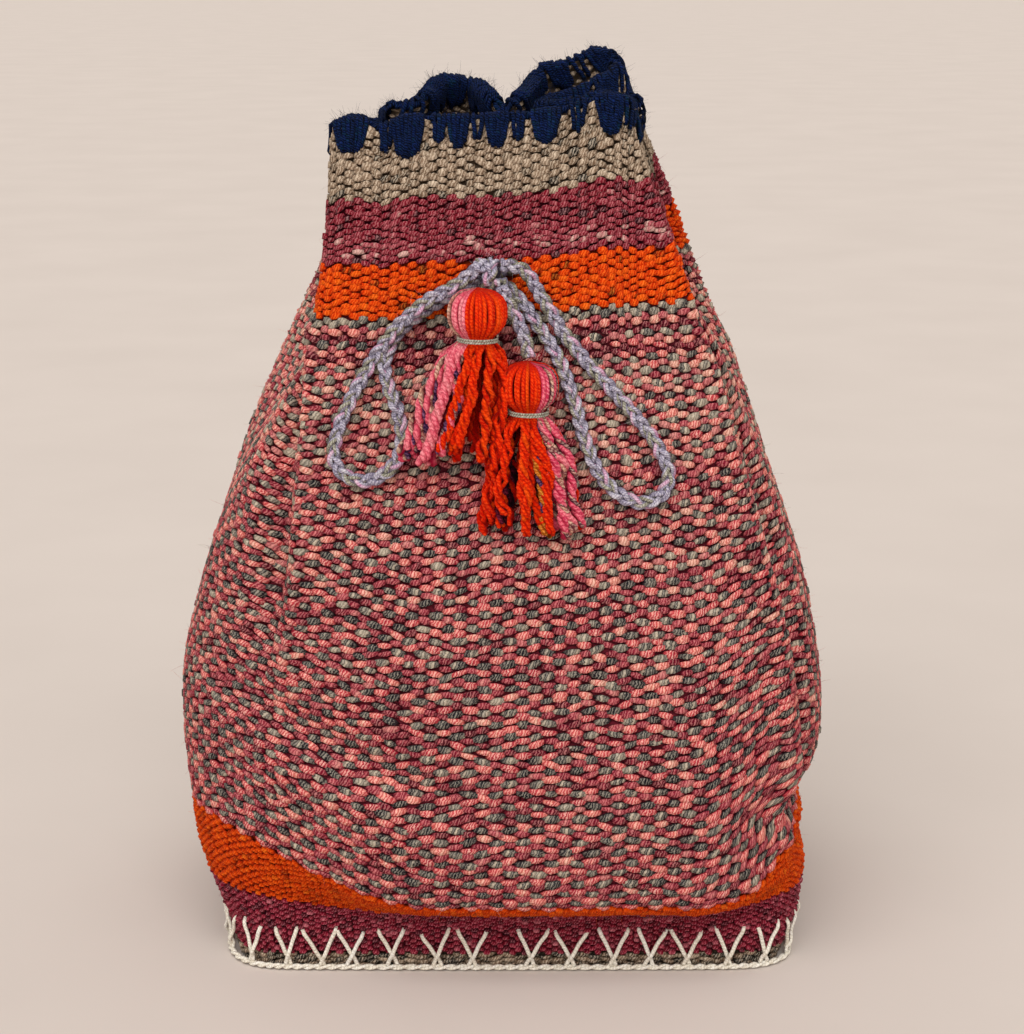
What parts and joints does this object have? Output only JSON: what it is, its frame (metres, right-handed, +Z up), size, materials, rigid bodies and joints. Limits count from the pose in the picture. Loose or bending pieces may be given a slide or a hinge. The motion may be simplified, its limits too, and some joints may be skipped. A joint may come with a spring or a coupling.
{
  "type": "drawstring pouch",
  "caption": "Hand-woven striped wool drawstring pouch on a sewn-in base, mouth gathered in folds, plaited cord tied in a bow with two wool tassels.",
  "frame": {"origin": "on the floor, under the middle of the base panel", "axes": "+Z up out of the mouth, -Y to the front with the bow, +X to the right of someone facing the front"},
  "size_m": [0.2644, 0.1859, 0.3616],
  "materials": {
    "woven_wool": "matt hand-woven wool in stripes of oatmeal, maroon, orange and a grey, maroon and coral melange",
    "base_wool": "matt woven wool",
    "cream_thread": "matt twisted thread",
    "navy_yarn": "matt fuzzy wool yarn",
    "plaited_cord": "matt plaited wool",
    "pink_tassel": "matt loose wool yarns",
    "orange_tassel": "matt loose wool yarns",
    "binding_thread": "matt twisted thread"
  },
  "bodies": {
    "root": {"bag_wall": "woven_wool", "base_panel": "base_wool", "base_edge_cord": "cream_thread", "base_cross_stitches": "cream_thread", "seam_yarn": "cream_thread", "mouth_edging": "navy_yarn", "drawstring_neck": "plaited_cord", "bow_knot": "plaited_cord", "left_loop": "plaited_cord", "right_loop": "plaited_cord", "right_tail": "plaited_cord", "left_tassel_yarn": "pink_tassel", "right_tassel_yarn": "orange_tassel", "left_tassel_binding": "binding_thread", "right_tassel_binding": "binding_thread"}
  },
  "joints": []
}
